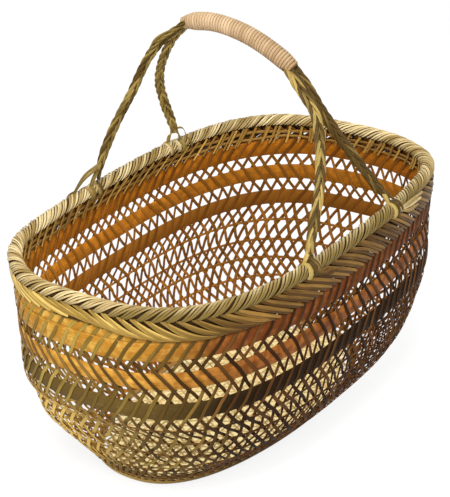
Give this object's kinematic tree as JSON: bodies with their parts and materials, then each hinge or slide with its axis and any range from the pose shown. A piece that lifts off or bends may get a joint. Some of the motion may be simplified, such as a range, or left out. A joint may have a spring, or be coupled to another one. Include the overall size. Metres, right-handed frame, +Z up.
{
  "type": "shopping basket",
  "caption": "Oval open-weave bamboo basket with wide and thin hoops, plaited rim and a fixed arched handle on plaited legs with a cane-wound grip.",
  "frame": {"origin": "middle of the bounding box in X and Y, on the underside of the base", "axes": "+Z up, X along the long axis of the mouth, Y across it; the handle's arch runs along Y"},
  "size_m": [0.4332, 0.277, 0.3659],
  "materials": {
    "strip_olive": "dry split bamboo, satin",
    "strip_warm": "dry split bamboo, satin",
    "band_gold": "satin",
    "band_dark": "satin",
    "base_olive": "satin",
    "rim_straw": "satin",
    "flank_straw": "satin",
    "leg_olive": "satin",
    "cane_tan": "satin",
    "hoop_brown": "satin"
  },
  "bodies": {
    "root": {"band_1": "band_gold", "band_2": "band_gold", "band_3": "band_dark", "base_lattice": "base_olive", "foot_ring": "base_olive", "grip_cane": "cane_tan", "grip_core": "leg_olive", "hoop_1": "hoop_brown", "hoop_2": "hoop_brown", "hoop_3": "hoop_brown", "hoop_4": "hoop_brown", "hoop_5": "hoop_brown", "hoop_6": "hoop_brown", "lashing_a": "rim_straw", "lashing_b": "rim_straw", "lashing_c": "rim_straw", "lashing_d": "rim_straw", "leg_a": "leg_olive", "leg_b": "leg_olive", "leg_c": "leg_olive", "leg_d": "leg_olive", "rim_flank": "flank_straw", "rim_roll": "rim_straw", "strips_inside": "strip_warm", "strips_outside": "strip_olive"}
  },
  "joints": []
}
